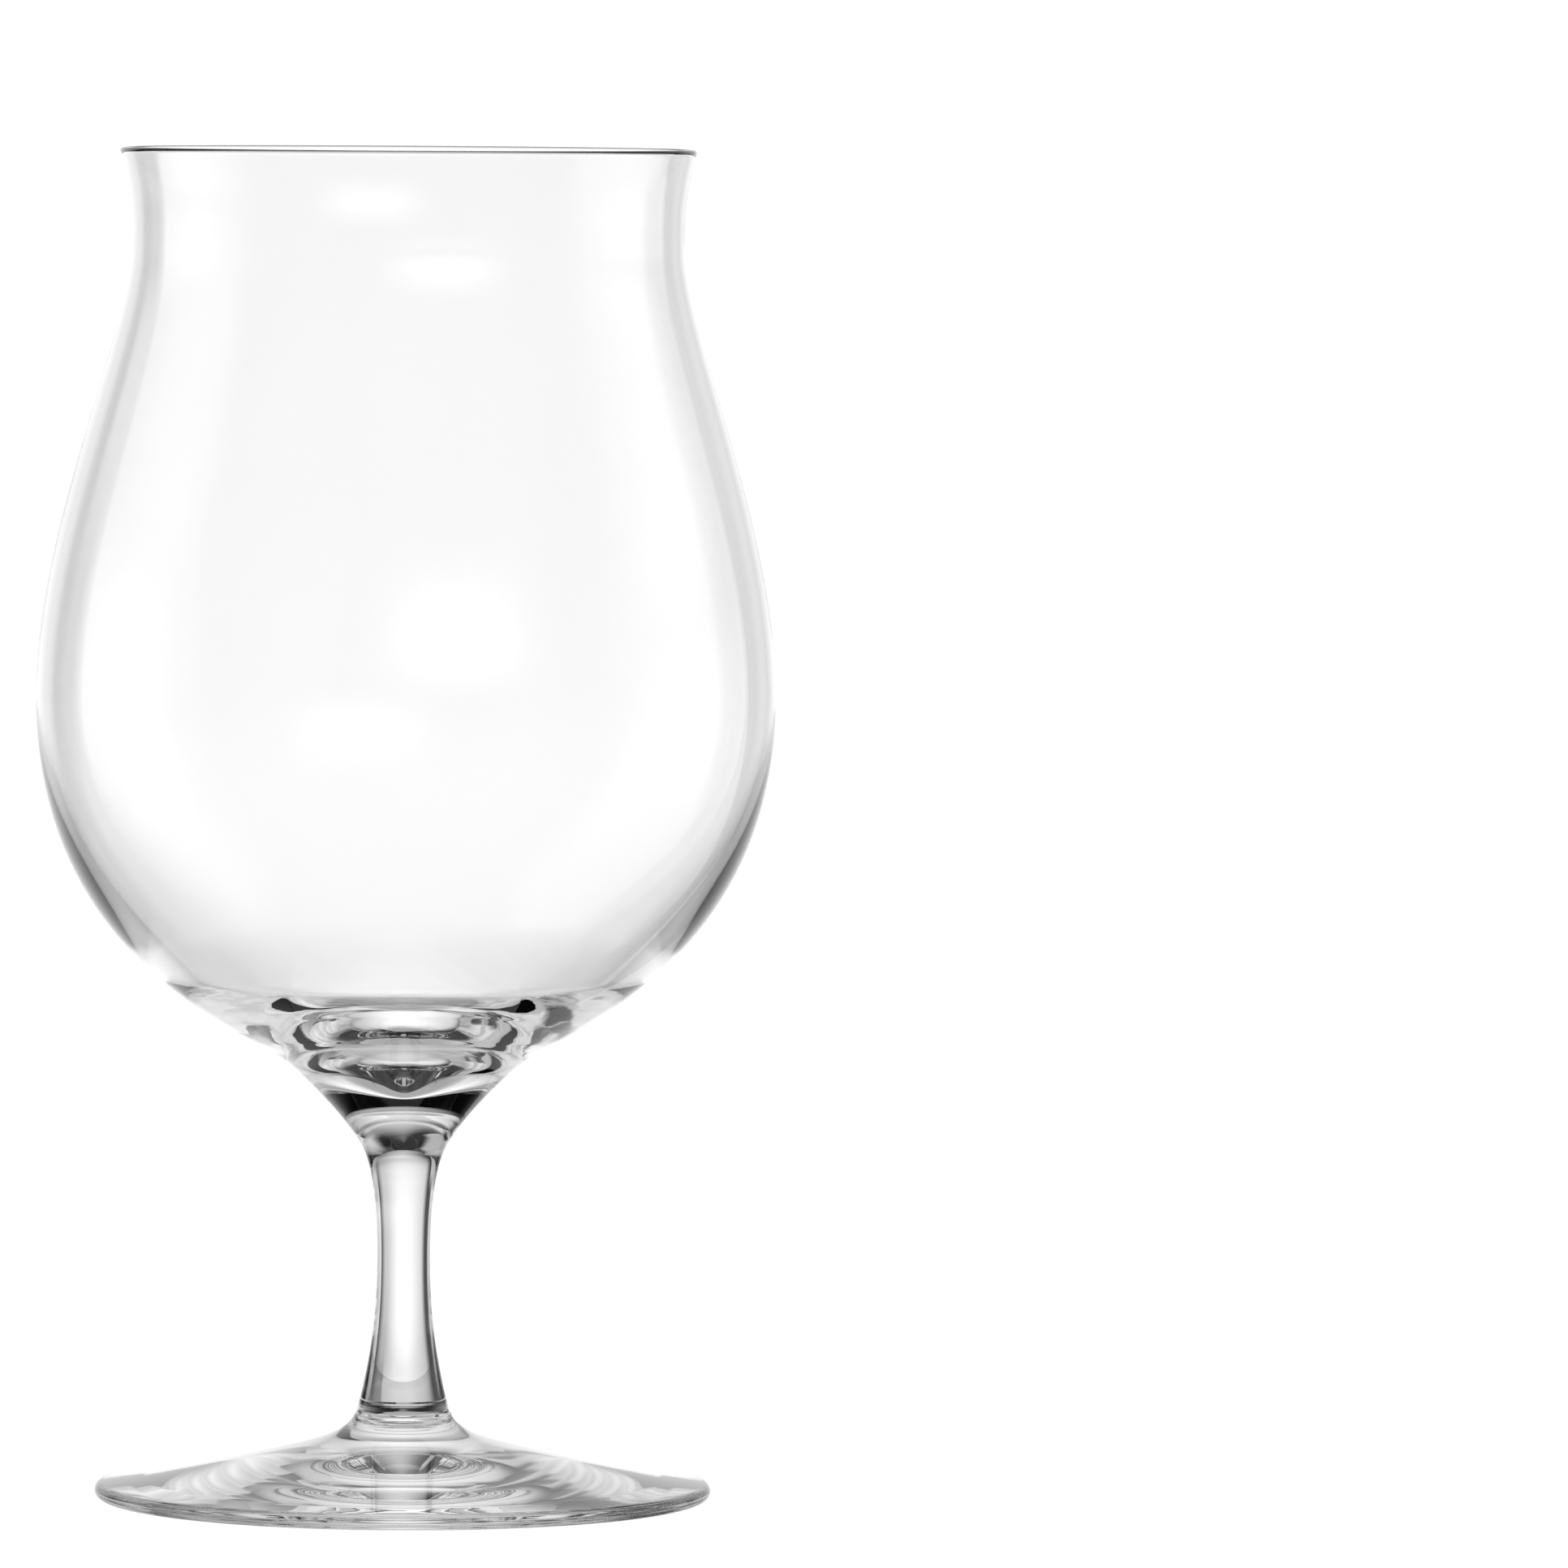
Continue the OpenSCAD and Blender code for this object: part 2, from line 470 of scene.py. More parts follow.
class Lathe(SharedTree):
    """Turns an outline round the upright axis with a Geometry Nodes tree."""

    NAME = "turned_glass"
    KIND = "GeometryNodeTree"
    INPUTS = (
        Socket("Geometry", "NodeSocketGeometry"),
        Socket("Turn Steps", "NodeSocketInt", 180),
        Socket("Closing Distance", value=SAME_PLACE),
        Socket("Crease Angle", value=math.radians(24.0)),
        Socket("Lower Weld", value=NO_WELD),
        Socket("Upper Weld", value=NO_WELD),
        Socket("Weld Reach", value=5e-3 * MM),
        Socket("Glass", "NodeSocketMaterial"),
        Socket("Weld", "NodeSocketMaterial"),
    )
    OUTPUTS = (Socket("Geometry", "NodeSocketGeometry"),)

    @classmethod
    def write(cls, sheet: NodeSheet) -> None:
        """Writes the steps of the turning, in order.

        Args:
            sheet: The tree.
        """
        given = sheet.add("NodeGroupInput").outputs
        wrapped = cls._wrapped(sheet, given)
        creased = cls._creased(sheet, given, wrapped)
        sheet.feed(sheet.add("NodeGroupOutput"), Geometry=cls._dressed(sheet, given, creased))

    @staticmethod
    def _wrapped(sheet: NodeSheet, given: bpy.types.NodeOutputs) -> bpy.types.NodeSocket:
        """Wraps a grid round the axis.

        It has a row for each place of the outline and a column for each step of the turn. Half a place is
        added before a place's number is divided, so that it can't fall into the row before its own.

        Args:
            sheet: The tree.
            given: The tree's own inputs.

        Returns:
            The wrapped grid, whose seam is still open.
        """
        half_place = 0.5
        size = sheet.feed(
            sheet.add("GeometryNodeAttributeDomainSize", component="MESH"), Geometry=given["Geometry"]
        )
        columns = sheet.reckon("ADD", given["Turn Steps"], 1.0)
        grid = sheet.feed(
            sheet.add("GeometryNodeMeshGrid"), Vertices_X=size.outputs["Point Count"], Vertices_Y=columns
        )
        index = sheet.add("GeometryNodeInputIndex").outputs[0]
        counted = sheet.reckon("DIVIDE", sheet.reckon("ADD", index, half_place), columns)
        row = sheet.reckon("FLOOR", counted)
        column = sheet.reckon("SUBTRACT", index, sheet.reckon("MULTIPLY", row, columns))
        sample = sheet.feed(
            sheet.add("GeometryNodeSampleIndex", data_type="FLOAT_VECTOR", domain="POINT"),
            Geometry=given["Geometry"],
            Value=sheet.add("GeometryNodeInputPosition").outputs[0],
            Index=row,
        )
        place = sheet.feed(sheet.add("ShaderNodeSeparateXYZ"), Vector=sample.outputs[0]).outputs
        turn = sheet.reckon("DIVIDE", column, given["Turn Steps"])
        angle = sheet.reckon("MULTIPLY", turn, 2 * math.pi)
        wrapped = sheet.feed(
            sheet.add("ShaderNodeCombineXYZ"),
            X=sheet.reckon("MULTIPLY", place["X"], sheet.reckon("COSINE", angle)),
            Y=sheet.reckon("MULTIPLY", place["X"], sheet.reckon("SINE", angle)),
            Z=place["Z"],
        )
        return sheet.feed(
            sheet.add("GeometryNodeSetPosition"),
            Geometry=grid.outputs["Mesh"],
            Position=wrapped.outputs[0],
        ).outputs[0]

    @staticmethod
    def _creased(
        sheet: NodeSheet, given: bpy.types.NodeOutputs, wrapped: bpy.types.NodeSocket
    ) -> bpy.types.NodeSocket:
        """Closes the seam and the poles, and shades the skin smooth up to its creases.

        Args:
            sheet: The tree.
            given: The tree's own inputs.
            wrapped: The wrapped grid.

        Returns:
            The closed skin, whose faces point outwards.
        """
        closed = sheet.feed(
            sheet.add("GeometryNodeMergeByDistance"),
            Geometry=wrapped,
            Distance=given["Closing Distance"],
        )
        outward = sheet.feed(sheet.add("GeometryNodeFlipFaces"), Mesh=closed.outputs[0])
        smooth = sheet.feed(
            sheet.add("GeometryNodeSetShadeSmooth", domain="FACE"), Geometry=outward.outputs[0]
        )
        bend = sheet.add("GeometryNodeInputMeshEdgeAngle").outputs[0]
        return sheet.feed(
            sheet.add("GeometryNodeSetShadeSmooth", domain="EDGE"),
            Geometry=smooth.outputs[0],
            Selection=sheet.reckon("GREATER_THAN", bend, given["Crease Angle"]),
            Shade_Smooth=False,
        ).outputs[0]

    @classmethod
    def _dressed(
        cls, sheet: NodeSheet, given: bpy.types.NodeOutputs, skin: bpy.types.NodeSocket
    ) -> bpy.types.NodeSocket:
        """Gives the skin its glass, and its fused faces the weld's material.

        Args:
            sheet: The tree.
            given: The tree's own inputs.
            skin: The closed skin.

        Returns:
            The finished piece.
        """
        real = sheet.feed(sheet.add("GeometryNodeRealizeInstances"), Geometry=skin)
        glass = sheet.feed(
            sheet.add("GeometryNodeSetMaterial"), Geometry=real.outputs[0], Material=given["Glass"]
        )
        return sheet.feed(
            sheet.add("GeometryNodeSetMaterial"),
            Geometry=glass.outputs[0],
            Selection=cls._near_weld(sheet, given),
            Material=given["Weld"],
        ).outputs[0]

    @staticmethod
    def _near_weld(sheet: NodeSheet, given: bpy.types.NodeOutputs) -> bpy.types.NodeSocket:
        """Picks the faces that lie on a weld.

        Args:
            sheet: The tree.
            given: The tree's own inputs.

        Returns:
            A socket that is above zero on those faces.
        """
        position = sheet.add("GeometryNodeInputPosition").outputs[0]
        here = sheet.feed(sheet.add("ShaderNodeSeparateXYZ"), Vector=position).outputs
        picked = []
        for name in ("Lower Weld", "Upper Weld"):
            away = sheet.reckon("ABSOLUTE", sheet.reckon("SUBTRACT", here["Z"], given[name]))
            picked.append(sheet.reckon("LESS_THAN", away, given["Weld Reach"]))
        return sheet.reckon("MAXIMUM", *picked)

    @classmethod
    def turned(cls, name: str, outline: list[Point], settings: dict[str, object]) -> bpy.types.Object:
        """Turns an outline into a finished piece.

        Args:
            name: The piece's name.
            outline: Its outline from the axis back to the axis, as (radius, height).
            settings: Values for the tree's inputs, by name.

        Returns:
            The piece, as a plain mesh at the origin.
        """
        line = bpy.data.meshes.new(f"{name}_outline")
        steps = [(i, i + 1) for i in range(len(outline) - 1)]
        line.from_pydata([(r, 0.0, z) for r, z in outline], steps, [])
        guide = bpy.data.objects.new(f"{name}_outline", line)
        bpy.context.scene.collection.objects.link(guide)
        modifier = guide.modifiers.new("turn", "NODES")
        modifier.node_group = cls.tree()
        for item in modifier.node_group.interface.items_tree:
            if item.in_out == "INPUT" and item.name in settings:
                modifier[item.identifier] = settings[item.name]
        bpy.context.view_layer.update()
        graph = bpy.context.evaluated_depsgraph_get()
        mesh = bpy.data.meshes.new_from_object(
            guide.evaluated_get(graph), preserve_all_data_layers=True, depsgraph=graph
        )
        bpy.data.objects.remove(guide)
        mesh.name = name
        piece = bpy.data.objects.new(name, mesh)
        bpy.context.scene.collection.objects.link(piece)
        return piece


@dataclass
class TurnedGlass:
    """A piece of glass that is turned round the axis and stands for one solid of the frame."""

    node: str
    finish: ClearGlass
    weld_finish: FusedWeld = FusedWeld()
    curve_steps: int = 56
    round_steps: int = 24
    turn_steps: int = 216
    low: Vector = field(init=False)
    high: Vector = field(init=False)

    def __post_init__(self) -> None:
        """Takes the piece's place from its solid."""
        self.low, self.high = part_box(self.node)

    @property
    def foot_z(self) -> float:
        """The height where the piece's solid begins."""
        return self.low.z

    @property
    def top_z(self) -> float:
        """The height where the piece's solid ends."""
        return self.high.z

    @property
    def half_width(self) -> float:
        """Half the width of the piece's solid."""
        return (self.high.x - self.low.x) / 2

    @staticmethod
    def flat(width: float, height: float) -> list[Point]:
        """Draws a flat end from its edge in to the axis, with a place halfway."""
        return [(width / 2, height), (width / 4, height), (0.0, height)]

    def outline(self) -> list[Point]:
        """Gives the piece's outline, from the axis to the axis."""
        raise NotImplementedError

    def weld_heights(self) -> tuple[float, float]:
        """Gives the heights of the piece's lower and upper weld."""
        raise NotImplementedError

    def build(self) -> bpy.types.Object:
        """Builds, dresses and seats the piece. It casts no shadow on the floor.

        Returns:
            The piece.
        """
        lower, upper = self.weld_heights()
        piece = Lathe.turned(
            f"{self.node}_glass",
            self.outline(),
            {
                "Turn Steps": self.turn_steps,
                "Lower Weld": lower,
                "Upper Weld": upper,
                "Glass": self.finish.material(),
                "Weld": self.weld_finish.material(),
            },
        )
        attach(piece, BODY)
        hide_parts(self.node)
        piece.visible_diffuse = False
        piece.visible_shadow = False
        LOG.info("%s: %d corners, %d faces", piece.name, len(piece.data.vertices), len(piece.data.polygons))
        return piece


@dataclass
class Foot(TurnedGlass):
    """The pressed disc with its hollow underside and short neck.

    Its ripples are a slow waviness, the fine rings of its edge and those of its neck.
    """

    node: str = "foot"
    finish: ClearGlass = ClearGlass(
        "foot_glass_finish",
        (
            Ripple(9.0 * MM, 0.01 * MM),
            Ripple(0.45 * MM, 0.012 * MM, draw=30.0, high=3.2 * MM, fade=1.6 * MM),
            Ripple(0.3 * MM, 0.04 * MM, draw=100.0, low=9.0 * MM, high=10.7 * MM, fade=0.4 * MM),
        ),
    )
    edge_t: float = 2.0 * MM
    edge_rise: float = 9.0
    shoulder_d: float = 24.7 * MM
    shoulder_h: float = 6.9 * MM
    shoulder_rise: float = 14.2
    neck_d: float = 12.1 * MM
    neck_lean: float = 17.0
    weld_d: float = 11.6 * MM
    ring_w: float = 6.2 * MM
    hollow_h: float = 1.4 * MM
    hollow_rise: float = 5.0
    disc_pulls: Shares = (0.13, 0.47)
    cove_pulls: Shares = (0.3, 0.27)
    hollow_pulls: Shares = (0.35, 0.4)

    def weld_heights(self) -> tuple[float, float]:
        """Gives the height of the weld with the stem."""
        return NO_WELD, self.top_z

    def outline(self) -> list[Point]:
        """Draws the hollow, the rounded edge, the disc, the neck and the weld.

        Returns:
            The outline.
        """
        n = self.curve_steps
        round_r = self.edge_t / 2
        edge = (self.half_width - round_r, round_r)
        ring = (self.half_width - self.ring_w, 0.0)
        hollow_top = (0.0, self.hollow_h)
        rise = leaning(self.edge_rise)
        disc_edge = (edge[0] + round_r * rise.x, edge[1] + round_r * rise.y)
        shoulder = (self.shoulder_d / 2, self.shoulder_h)
        slope = self.shoulder_rise - LEVEL
        neck = (self.neck_d / 2, self.top_z - (self.neck_d - self.weld_d) / 2)
        hollow = Flow(ring, self.hollow_rise - LEVEL, hollow_top, -LEVEL, self.hollow_pulls).places(n)
        return joined(
            hollow[::-1],
            arc(edge, round_r, -LEVEL, LEVEL - self.edge_rise, self.round_steps),
            Flow(disc_edge, self.edge_rise - LEVEL, shoulder, slope, self.disc_pulls).places(n),
            Flow(shoulder, slope, neck, -self.neck_lean, self.cove_pulls).places(n),
            self.flat(self.weld_d, self.top_z),
        )


@dataclass
class Stem(TurnedGlass):
    """The drawn stem, slimmest above its middle. Its one ripple runs along it."""

    node: str = "stem"
    finish: ClearGlass = ClearGlass("stem_glass_finish", (Ripple(6.0 * MM, 0.002 * MM, draw=0.3),))
    waist_d: float = 6.6 * MM
    waist_h: float = 19.5 * MM
    lower_d: float = 11.6 * MM
    lower_lean: float = 14.2
    upper_d: float = 10.9 * MM
    upper_lean: float = 32.0
    lower_pulls: Shares = (0.36, 0.38)
    upper_pulls: Shares = (0.42, 0.21)

    def weld_heights(self) -> tuple[float, float]:
        """Gives the heights of the welds with the foot and the bowl."""
        return self.foot_z, self.top_z

    def outline(self) -> list[Point]:
        """Draws the lower weld, the side and the upper weld.

        Returns:
            The outline.
        """
        n = self.curve_steps
        waist = (self.waist_d / 2, self.foot_z + self.waist_h)
        foot_weld = self.flat(self.lower_d, self.foot_z)
        bowl_weld = self.flat(self.upper_d, self.top_z)
        return joined(
            foot_weld[::-1],
            Flow(foot_weld[0], -self.lower_lean, waist, UPRIGHT, self.lower_pulls).places(n),
            Flow(waist, UPRIGHT, bowl_weld[0], self.upper_lean, self.upper_pulls).places(n),
            bowl_weld,
        )


@dataclass
class Bowl(TurnedGlass):
    """The blown bowl with its solid base, waisted neck and flared rim.

    Its ripples are a slow waviness and the swirls low in its round.
    """

    node: str = "bowl"
    finish: ClearGlass = ClearGlass(
        "bowl_glass_finish",
        (
            Ripple(16.0 * MM, 0.006 * MM),
            Ripple(5.0 * MM, 0.03 * MM, low=50.0 * MM, high=66.0 * MM, fade=5.0 * MM),
        ),
    )
    curve_steps: int = 40
    weld_d: float = 10.9 * MM
    base_lean: float = 30.7
    base_turn_d: float = 29.5 * MM
    base_turn_h: float = 10.2 * MM
    base_turn_lean: float = 53.0
    belly_h: float = 55.9 * MM
    neck_d: float = 68.9 * MM
    neck_drop: float = 12.3 * MM
    rim_d: float = 71.7 * MM
    rim_flare: float = 15.2
    base_t: float = 9.2 * MM
    floor_turn_d: float = 17.7 * MM
    floor_turn_rise: float = 3.1 * MM
    floor_turn_lean: float = 74.0
    well_d: float = 32.5 * MM
    well_rise: float = 6.6 * MM
    well_lean: float = 62.5
    side_share: float = 0.45
    side_t: float = 2.75 * MM
    belly_t: float = 1.15 * MM
    neck_t: float = 0.9 * MM
    rim_t: float = 0.95 * MM
    base_pulls: Shares = (0.38, 0.09)
    round_pulls: Shares = (0.13, 0.59)
    body_pulls: Shares = (0.37, 0.18)
    neck_pulls: Shares = (0.12, 0.58)
    floor_pulls: Shares = (0.19, 0.43)
    well_pulls: Shares = (0.25, 0.36)
    inner_round_pulls: Shares = (0.13, 0.33)
    inner_side_pulls: Shares = (0.35, 0.39)

    def weld_heights(self) -> tuple[float, float]:
        """Gives the height of the weld with the stem."""
        return self.foot_z, NO_WELD

    def _round(self) -> Flow:
        """Gives the outside's curve from the turn of the base to the belly.

        Returns:
            The curve.
        """
        turn = (self.base_turn_d / 2, self.foot_z + self.base_turn_h)
        belly = (self.half_width, self.foot_z + self.belly_h)
        return Flow(turn, self.base_turn_lean, belly, UPRIGHT, self.round_pulls)

    def _outside(self, rim: Point) -> list[Point]:
        """Draws the outside from the weld up to the rim.

        Args:
            rim: Where the outside meets the rounded lip.

        Returns:
            The outside's places.
        """
        weld = (self.weld_d / 2, self.foot_z)
        side = self._round()
        neck = (self.neck_d / 2, self.top_z - self.neck_drop)
        n = self.curve_steps
        return joined(
            Flow(weld, self.base_lean, side.low, side.low_lean, self.base_pulls).places(n),
            side.places(n),
            Flow(side.high, UPRIGHT, neck, UPRIGHT, self.body_pulls).places(n),
            Flow(neck, UPRIGHT, rim, self.rim_flare, self.neck_pulls).places(n),
        )

    def _inside(self, rim: Point) -> list[Point]:
        """Draws the inside from the floor up to the rim.

        The inside turns into the bowl's side at a share of the outside's round, one wall's thickness in
        from it.

        Args:
            rim: Where the inside meets the rounded lip.

        Returns:
            The inside's places.
        """
        floor_z = self.foot_z + self.base_t
        floor = (0.0, floor_z)
        turn = (self.floor_turn_d / 2, floor_z + self.floor_turn_rise)
        well = (self.well_d / 2, floor_z + self.well_rise)
        outer = self._round()
        heading = outer.heading(self.side_share)
        side = outer.at(self.side_share) + self.side_t * Vector((-heading.y, heading.x))
        lean = math.degrees(math.atan2(heading.x, heading.y))
        belly = (self.half_width - self.belly_t, self.foot_z + self.belly_h)
        neck = (self.neck_d / 2 - self.neck_t, self.top_z - self.neck_drop)
        n = self.curve_steps
        return joined(
            Flow(floor, LEVEL, turn, self.floor_turn_lean, self.floor_pulls).places(n),
            Flow(turn, self.floor_turn_lean, well, self.well_lean, self.well_pulls).places(n),
            Flow(well, self.well_lean, side, lean, self.inner_round_pulls).places(n),
            Flow(side, lean, belly, UPRIGHT, self.inner_side_pulls).places(n),
            Flow(belly, UPRIGHT, neck, UPRIGHT, self.body_pulls).places(n),
            Flow(neck, UPRIGHT, rim, self.rim_flare, self.neck_pulls).places(n),
        )

    def outline(self) -> list[Point]:
        """Draws the weld, the outside, the lip and the inside.

        Returns:
            The outline.
        """
        lip_r = self.rim_t / 2
        lip = (self.rim_d / 2 - lip_r, self.top_z - lip_r)
        flare = math.radians(self.rim_flare)
        outwards = (lip_r * math.cos(flare), -lip_r * math.sin(flare))
        outer_rim = (lip[0] + outwards[0], lip[1] + outwards[1])
        inner_rim = (lip[0] - outwards[0], lip[1] - outwards[1])
        return joined(
            self.flat(self.weld_d, self.foot_z)[::-1],
            self._outside(outer_rim),
            arc(lip, lip_r, -self.rim_flare, 2 * LEVEL - self.rim_flare, self.round_steps),
            self._inside(inner_rim)[::-1],
        )


class Rays(Enum):
    """The rays of light that a piece of the stage is there for."""

    EYE = "eye"
    GLASS = "glass"

    def meet(self, piece: bpy.types.Object) -> None:
        """Lets only these rays meet a piece of the stage.

        Args:
            piece: The piece. For the eye it is seen straight, and for the glass only in it.
        """
        in_glass = self is Rays.GLASS
        piece.visible_camera = not in_glass
        piece.visible_diffuse = not in_glass
        piece.visible_glossy = in_glass
        piece.visible_transmission = in_glass
        piece.visible_shadow = False


class SoftEdges(SharedTree):
    """The soft edges of a light card, as one shader group.

    Its Light falls from one to nothing over the given shares of the card's size.
    """

    NAME = "soft_edges"
    INPUTS = tuple(map(Socket, ("Soft Left", "Soft Right", "Soft Low", "Soft High")))
    OUTPUTS = (Socket("Light"),)

    @classmethod
    def write(cls, sheet: NodeSheet) -> None:
        """Writes a smooth fall of light for each of the four edges, all multiplied.

        Args:
            sheet: The group.
        """
        given = sheet.add("NodeGroupInput").outputs
        where = sheet.add("ShaderNodeTexCoord").outputs["UV"]
        place = sheet.feed(sheet.add("ShaderNodeSeparateXYZ"), Vector=where).outputs
        distances = []
        for axis in "XY":
            distances += [place[axis], sheet.reckon("SUBTRACT", 1.0, place[axis])]
        light = None
        for away, soft in zip(distances, cls.INPUTS):
            fall = sheet.feed(
                sheet.add("ShaderNodeMapRange", interpolation_type="SMOOTHSTEP"),
                Value=away,
                From_Max=given[soft.name],
            ).outputs[0]
            light = sheet.reckon("MULTIPLY", light, fall) if light else fall
        sheet.feed(sheet.add("NodeGroupOutput"), Light=light)


@dataclass(frozen=True)
class SoftLight(Finish):
    """The finish of a light card: it glows, lets other cards shine through, and fades at its edges."""

    light: float
    soft_shares: tuple[float, float, float, float]

    def material(self) -> bpy.types.Material:
        """Makes the material, which gives light only to the rays that meet its card.

        Returns:
            A glowing, see-through material.
        """
        material = super().material()
        material.cycles.emission_sampling = "NONE"
        return material

    def write(self, sheet: NodeSheet) -> None:
        """Writes a glow that falls off at the edges, added to what lies behind it.

        Args:
            sheet: The material's nodes.
        """
        edges = sheet.add("ShaderNodeGroup", node_tree=SoftEdges.tree())
        for soft, share in zip(SoftEdges.INPUTS, self.soft_shares):
            edges.inputs[soft.name].default_value = share
        glow = sheet.feed(sheet.add("ShaderNodeEmission"), Color=edges.outputs[0], Strength=self.light)
        both = sheet.add("ShaderNodeAddShader")
        sheet.join(glow.outputs[0], both.inputs[0])
        sheet.join(sheet.add("ShaderNodeBsdfTransparent").outputs[0], both.inputs[1])
        sheet.shade_with(both)


@dataclass(frozen=True)
class SoftCard:
    """A curved light card of the studio.

    Its four edges are angles in degrees, as seen from the glass, to the right of straight ahead and
    above the middle. The four softnesses are how far inside the left, right, low and high edge its
    light reaches its full strength. It has a corner every few degrees, and stops short of the poles.
    """

    name: str
    left: float
    right: float
    low: float
    high: float
    softness: tuple[float, float, float, float]
    light: float
    distance: float = 5.0
    step: float = 4.0
    pole_gap: float = 1.0

    def _place(self, across: float, up: float) -> tuple[float, float, float]:
        """Gives the place in a direction.

        Args:
            across: The direction's angle to the right of straight ahead.
            up: Its angle above the middle.

        Returns:
            The place, on the card's sphere.
        """
        highest = LEVEL - self.pole_gap
        a, e = math.radians(across), math.radians(min(max(up, -highest), highest))
        return (
            self.distance * math.sin(a) * math.cos(e),
            self.distance * math.cos(a) * math.cos(e),
            self.distance * math.sin(e),
        )

    def _sheet(self) -> bpy.types.Mesh:
        """Makes the card's skin.

        Returns:
            A grid on the card's sphere, whose UV map runs from nothing to one across and up.
        """
        width, height = self.right - self.left, self.high - self.low
        columns, rows = math.ceil(width / self.step), math.ceil(height / self.step)
        marks = [(i / columns, j / rows) for j in range(rows + 1) for i in range(columns + 1)]
        places = [self._place(self.left + u * width, self.low + v * height) for u, v in marks]
        wide = columns + 1
        faces = [
            (j * wide + i, j * wide + i + 1, (j + 1) * wide + i + 1, (j + 1) * wide + i)
            for j in range(rows)
            for i in range(columns)
        ]
        mesh = bpy.data.meshes.new(self.name)
        mesh.from_pydata(places, [], faces)
        layer = mesh.uv_layers.new(name="card")
        for loop in mesh.loops:
            layer.data[loop.index].uv = marks[loop.vertex_index]
        return mesh

    def build(self, rig: bpy.types.Object) -> bpy.types.Object:
        """Builds and hangs the card.

        Args:
            rig: What the card hangs from.

        Returns:
            The card.
        """
        width, height = self.right - self.left, self.high - self.low
        spans = (width, width, height, height)
        shares = tuple(soft / span for soft, span in zip(self.softness, spans))
        mesh = self._sheet()
        mesh.materials.append(SoftLight(f"{self.name}_light", self.light, shares).material())
        card = bpy.data.objects.new(self.name, mesh)
        bpy.context.scene.collection.objects.link(card)
        card.parent = rig
        Rays.GLASS.meet(card)
        LOG.info("%s: light %.2f", self.name, self.light)
        return card


@dataclass(frozen=True)
class LightRig:
    """The light cards round the glass. They stand round the line from the camera to the glass.

    The reach is how far the glass is from the camera, and the spacing how far each card stands behind
    the one before it.
    """

    reach: float = 1.7
    spacing: float = 0.1
    cards: tuple[SoftCard, ...] = (
        SoftCard("backdrop", -43.8, 45.1, -40.5, 34.8, (12.8, 16.5, 39.9, 21.0), 0.628),
        SoftCard("backdrop_glow", -46.8, 29.4, -30.5, 56.7, (44.0, 28.5, 21.6, 82.9), 0.645),
        SoftCard("left_softbox", -125.2, -52.8, -54.9, 16.4, (43.3, 7.4, 65.4, 9.0), 0.804),
        SoftCard("left_spill", -114.5, -44.5, 7.1, 69.0, (17.3, 2.1, 10.4, 11.7), 0.536),
        SoftCard("right_softbox", 44.3, 113.6, -71.0, 24.9, (1.1, 47.2, 98.4, 29.0), 1.091),
        SoftCard("right_spill", 30.5, 114.7, 6.4, 65.3, (39.6, 43.8, 10.0, 18.4), 0.77),
        SoftCard("ceiling", -38.5, 71.0, 20.8, 101.9, (41.0, 75.9, 9.0, 57.8), 0.544),
        SoftCard("table_glow", -46.8, 22.7, -88.7, -14.2, (22.3, 1.0, 9.0, 9.0), 0.407),
        SoftCard("front_light", 131.7, 194.7, -3.9, 21.8, (28.0, 28.0, 12.8, 12.8), 1.316),
    )

    def build(self, camera: bpy.types.Object) -> None:
        """Hangs the cards round the place that the camera looks at.

        Args:
            camera: The camera.
        """
        rig = bpy.data.objects.new("light_rig", None)
        bpy.context.scene.collection.objects.link(rig)
        rig.parent = camera
        ahead = Matrix.Translation((0.0, 0.0, -self.reach))
        rig.matrix_local = ahead @ Matrix.Rotation(math.radians(-LEVEL), 4, "X")
        for number, card in enumerate(self.cards):
            replace(card, distance=card.distance + self.spacing * number).build(rig)


@dataclass(frozen=True)
class FloorPaper(Finish):
    """The finish of the floor: matt white paper."""

    name: str = "floor_paper"
    white: float = 0.92
    roughness: float = 0.9

    def write(self, sheet: NodeSheet) -> None:
        """Writes a white that doesn't shine.

        Args:
            sheet: The material's nodes.
        """
        sheet.feed(
            sheet.tree.nodes["Principled BSDF"],
            Base_Color=(self.white, self.white, self.white, 1.0),
            Roughness=self.roughness,
            Specular_IOR_Level=0.0,
        )


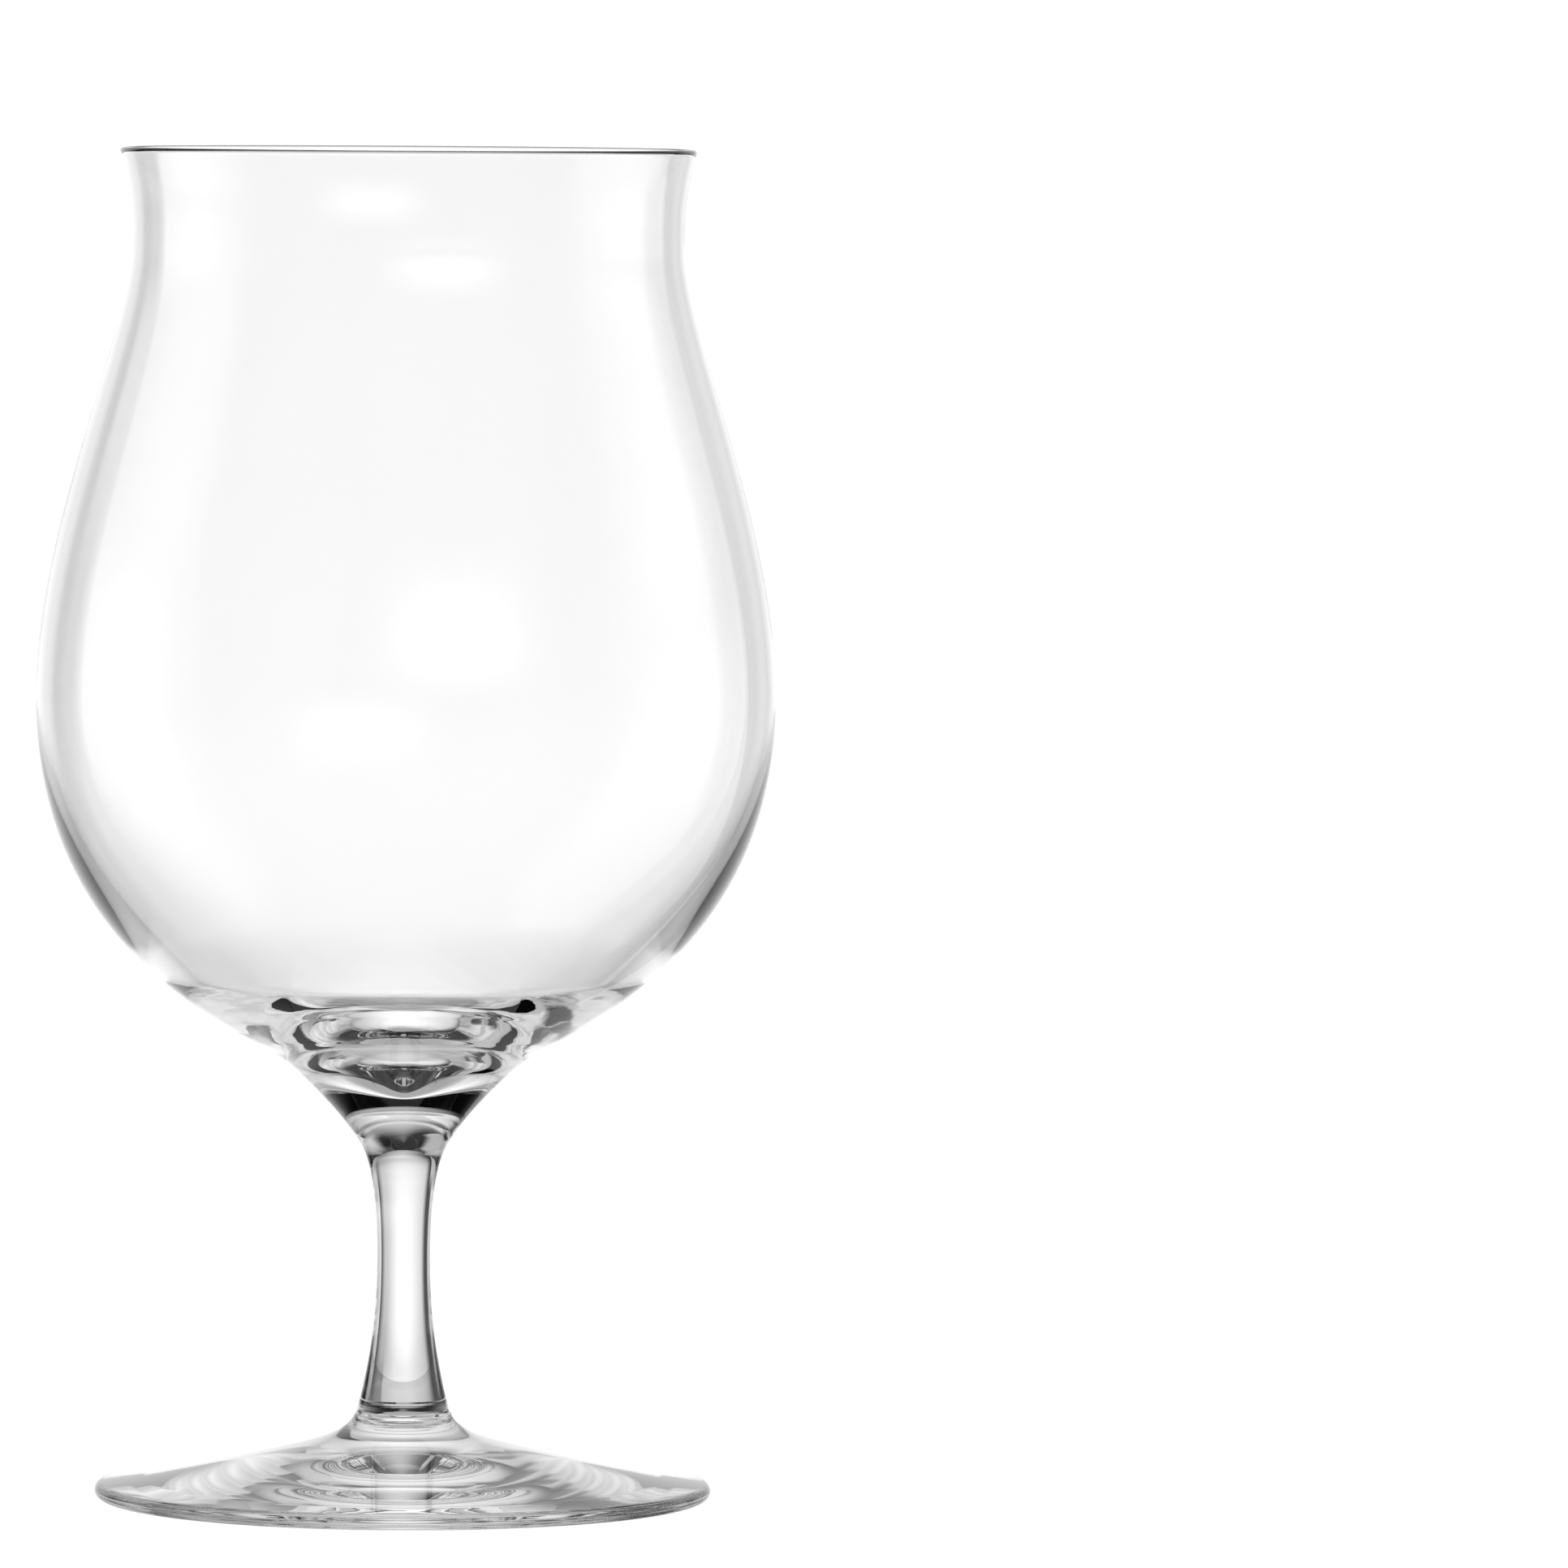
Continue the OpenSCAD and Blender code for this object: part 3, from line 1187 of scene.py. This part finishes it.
@dataclass
class Studio:
    """The white floor and the plain surround.

    The surround has one strength for the eye and the floor, and another, the room's, in the glass.
    """

    floor_finish: FloorPaper = FloorPaper()
    floor_size: float = 12.0
    floor_drop: float = 0.05 * MM
    white: float = 1.12
    room: float = 0.021
    clear_bounces: int = 32
    mirror_bounces: int = 16

    def build(self) -> None:
        """Makes the floor and the surround, and sets how light is counted."""
        self._floor()
        self._world()
        scene = bpy.context.scene
        scene.view_settings.view_transform = "Standard"
        scene.cycles.max_bounces = self.clear_bounces
        scene.cycles.transmission_bounces = self.clear_bounces
        scene.cycles.glossy_bounces = self.mirror_bounces
        scene.cycles.transparent_max_bounces = self.clear_bounces

    def _floor(self) -> None:
        """Lays the floor, a hair under the foot."""
        half = self.floor_size / 2
        square = [(-half, -half), (half, -half), (half, half), (-half, half)]
        mesh = bpy.data.meshes.new("floor")
        mesh.from_pydata([(x, y, -self.floor_drop) for x, y in square], [], [(0, 1, 2, 3)])
        floor = bpy.data.objects.new("floor", mesh)
        bpy.context.scene.collection.objects.link(floor)
        mesh.materials.append(self.floor_finish.material())
        Rays.EYE.meet(floor)

    def _world(self) -> None:
        """Makes the surround: white to the eye and on the floor, and a dark room in the glass."""
        world = bpy.data.worlds.new("studio")
        bpy.context.scene.world = world
        world.use_nodes = True
        sheet = NodeSheet(world.node_tree)
        rays = sheet.add("ShaderNodeLightPath").outputs
        plain = sheet.reckon("MAXIMUM", rays["Is Camera Ray"], rays["Is Diffuse Ray"])
        strength = sheet.feed(
            sheet.add("ShaderNodeMapRange"), Value=plain, To_Min=self.room, To_Max=self.white
        )
        shade = world.node_tree.nodes["Background"]
        sheet.feed(shade, Color=(1.0, 1.0, 1.0, 1.0), Strength=strength.outputs[0])


@dataclass(frozen=True)
class Viewpoint:
    """The camera, at the photograph's viewing angle. Its pitch and roll are in degrees."""

    eye: tuple[float, float, float] = (47.13 * MM, -1692.0 * MM, 183.8 * MM)
    pitch_down: float = 3.1863
    roll: float = 0.3537
    focal_px: float = 16752.0
    frame_px: float = 1932.0
    sensor: float = 36.0
    nearest: float = 0.01
    farthest: float = 100.0

    def build(self) -> bpy.types.Object:
        """Places the camera and makes it the scene's own.

        Returns:
            The camera.
        """
        data = bpy.data.cameras.new("camera")
        data.sensor_width = self.sensor
        data.lens = self.sensor * self.focal_px / self.frame_px
        data.clip_start = self.nearest
        data.clip_end = self.farthest
        camera = bpy.data.objects.new("camera", data)
        tilt = Matrix.Rotation(math.radians(LEVEL - self.pitch_down), 4, "X")
        turn = Matrix.Rotation(math.radians(self.roll), 4, "Z")
        camera.matrix_world = Matrix.Translation(self.eye) @ tilt @ turn
        bpy.context.scene.collection.objects.link(camera)
        bpy.context.scene.camera = camera
        return camera


def main() -> None:
    """Builds the glass, the studio and the camera."""
    logging.basicConfig(level=logging.INFO, format="%(name)s: %(message)s")
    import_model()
    Foot().build()
    Stem().build()
    Bowl().build()
    Studio().build()
    LightRig().build(Viewpoint().build())


if __name__ == "__main__":
    main()
